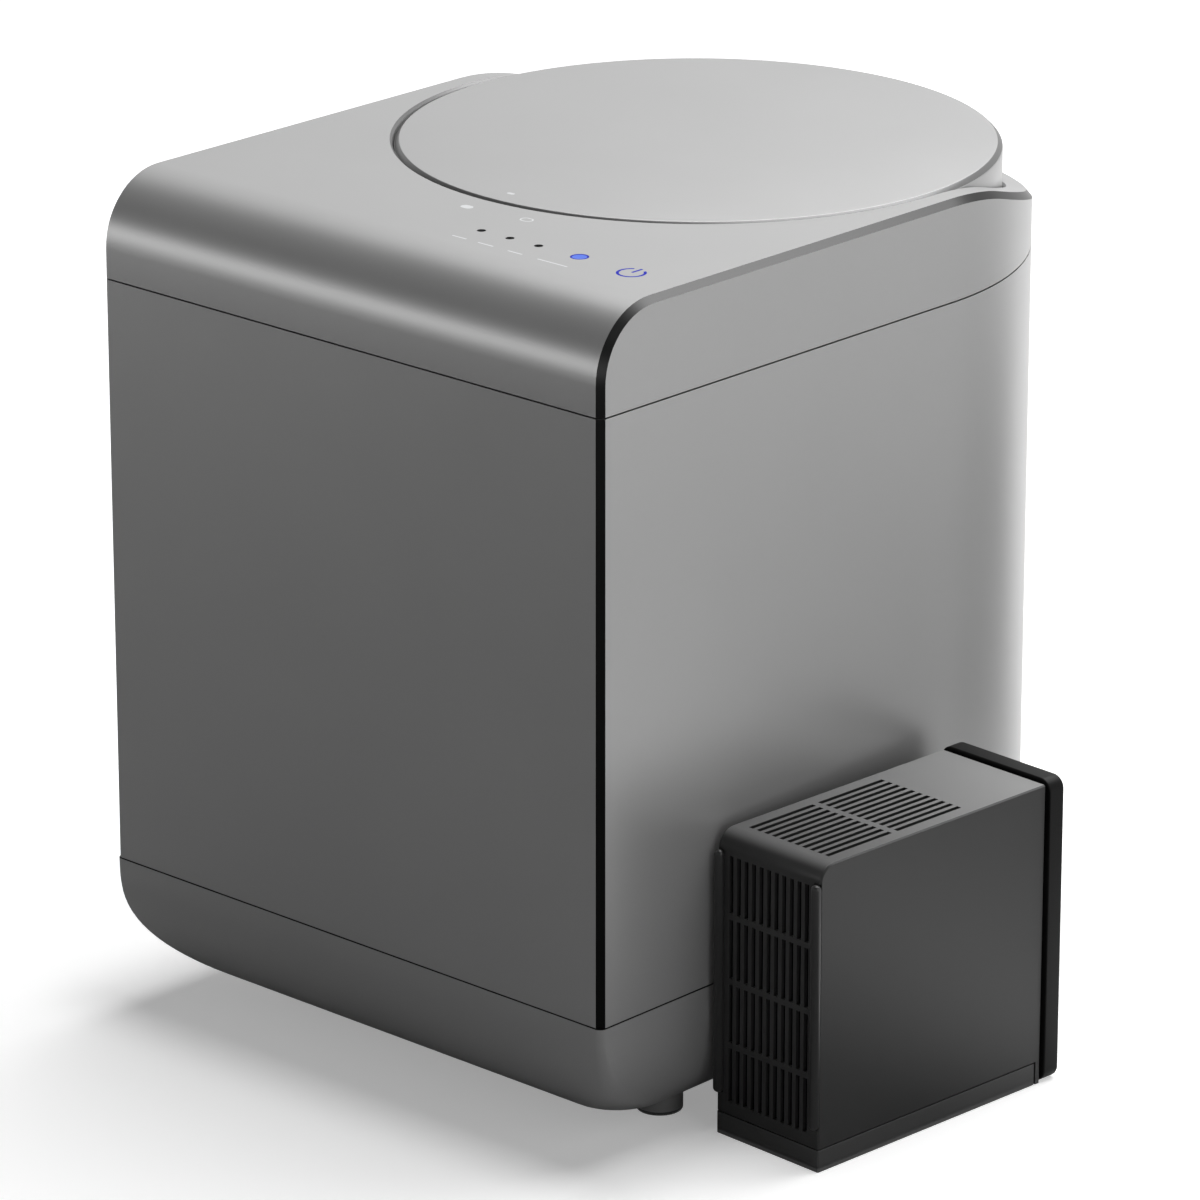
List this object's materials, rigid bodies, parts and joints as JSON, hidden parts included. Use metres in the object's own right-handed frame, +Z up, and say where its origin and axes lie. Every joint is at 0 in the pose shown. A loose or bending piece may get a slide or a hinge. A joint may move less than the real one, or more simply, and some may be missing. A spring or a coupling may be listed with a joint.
{
  "type": "electric food waste composter",
  "caption": "Floor-standing electric kitchen composter with a flush round hinged lid, a motor-driven paddle tank inside and a lift-out slotted filter cartridge beside it.",
  "frame": {"origin": "bottom centre of the box round the machine and the cartridge that stands beside it, on the floor", "axes": "+X to the right seen from the flat front, +Y from the front to the half-round back, +Z up"},
  "size_m": [0.412, 0.4141, 0.429],
  "materials": {
    "shell_silver": "moulded plastic in fine metallic silver-grey lacquer, satin",
    "sleeve_silver": "sheet metal in fine metallic silver-grey lacquer, satin",
    "lid_silver": "moulded plastic in fine metallic silver-grey lacquer, satin",
    "foot_black": "matt black rubber",
    "seal_grey": "grey silicone",
    "liner_grey": "mid-grey moulded plastic",
    "window_dark": "smoked light guide",
    "light_blue": "translucent blue light guide",
    "board_green": "printed circuit board",
    "steel_zinc": "zinc-plated sheet steel",
    "steel_bright": "bright turned steel",
    "steel_inox": "brushed stainless steel",
    "tank_inox": "pressed stainless sheet, satin",
    "bush_ptfe": "natural acetal",
    "gear_acetal": "natural acetal",
    "motor_can": "dark zinc and black paint",
    "heater_orange": "silicone heating mat",
    "inner_black": "black moulded plastic",
    "pin_brass": "plated brass",
    "cartridge_grey": "dark grey moulded plastic, satin",
    "cartridge_dark": "darker grey moulded plastic",
    "rod_black": "black plastic rod",
    "fleece": "pleated fleece",
    "carbon": "pressed carbon block"
  },
  "bodies": {
    "machine": {"base_shell": "shell_silver", "foot_front_left": "foot_black", "foot_front_right": "foot_black", "foot_rear_left": "foot_black", "foot_rear_right": "foot_black", "body_sleeve": "sleeve_silver", "top_cover": "shell_silver", "status_window_1": "window_dark", "status_window_2": "window_dark", "status_window_3": "window_dark", "status_light": "light_blue", "power_icon": "light_blue", "control_board": "board_green", "feed_chute": "liner_grey", "hinge_pin": "steel_bright", "compost_tank": "tank_inox", "tank_deck": "liner_grey", "heater_pad": "heater_orange", "tank_cradle": "steel_zinc", "drive_plate": "steel_zinc", "tank_screws": "steel_bright", "shaft_bush_left": "bush_ptfe", "shaft_bush_right": "bush_ptfe", "idler_axle": "steel_bright", "gear_motor": "motor_can", "motor_screws": "steel_bright", "power_board": "board_green", "filter_bay": "inner_black", "fan_housing": "inner_black", "air_duct": "inner_black", "power_inlet": "inner_black", "inlet_pins": "pin_brass"},
    "lid": {"lid_shell": "lid_silver", "lid_liner": "liner_grey", "lid_seal": "seal_grey"},
    "mixer": {"mixing_shaft": "steel_inox", "mixing_paddle_1": "steel_inox", "mixing_paddle_2": "steel_inox", "mixing_paddle_3": "steel_inox", "mixing_paddle_4": "steel_inox", "mixing_paddle_5": "steel_inox", "mixing_paddle_6": "steel_inox", "driven_gear": "gear_acetal"},
    "idler": {"idler_gear": "gear_acetal"},
    "pinion": {"motor_pinion": "steel_bright"},
    "fan": {"fan_rotor": "inner_black"},
    "cartridge": {"cartridge_housing": "cartridge_grey", "cartridge_tray": "cartridge_dark", "cartridge_flange": "cartridge_dark", "guide_rod_left": "rod_black", "guide_rod_right": "rod_black", "dust_filter": "fleece", "carbon_block": "carbon"}
  },
  "joints": [
    {"name": "mixer_spin", "type": "hinge", "parent": "machine", "child": "mixer", "pos_m": [-0.0409, -0.07306, 0.192], "axis": [1, 0, 0], "continuous": true},
    {"name": "idler_spin", "type": "hinge", "parent": "machine", "child": "idler", "pos_m": [0.1021, -0.07306, 0.102], "axis": [1, 0, 0], "continuous": true},
    {"name": "pinion_spin", "type": "hinge", "parent": "machine", "child": "pinion", "pos_m": [0.1021, -0.07306, 0.0495], "axis": [1, 0, 0], "continuous": true},
    {"name": "fan_spin", "type": "hinge", "parent": "machine", "child": "fan", "pos_m": [-0.0409, 0.11094, 0.268], "axis": [0, 0, 1], "continuous": true},
    {"name": "lid_hinge", "type": "hinge", "parent": "machine", "child": "lid", "pos_m": [-0.0409, 0.19544, 0.401], "axis": [-1, 0, 0], "range_deg": [0, 85]},
    {"name": "cartridge_lift", "type": "slide", "parent": "machine", "child": "cartridge", "axis": [0, 0, 1], "range_m": [0, 0.12]}
  ],
  "couplings": [
    {"joint": "idler_spin", "follows": "mixer_spin", "ratio": -2},
    {"joint": "pinion_spin", "follows": "mixer_spin", "ratio": 2.6667}
  ]
}
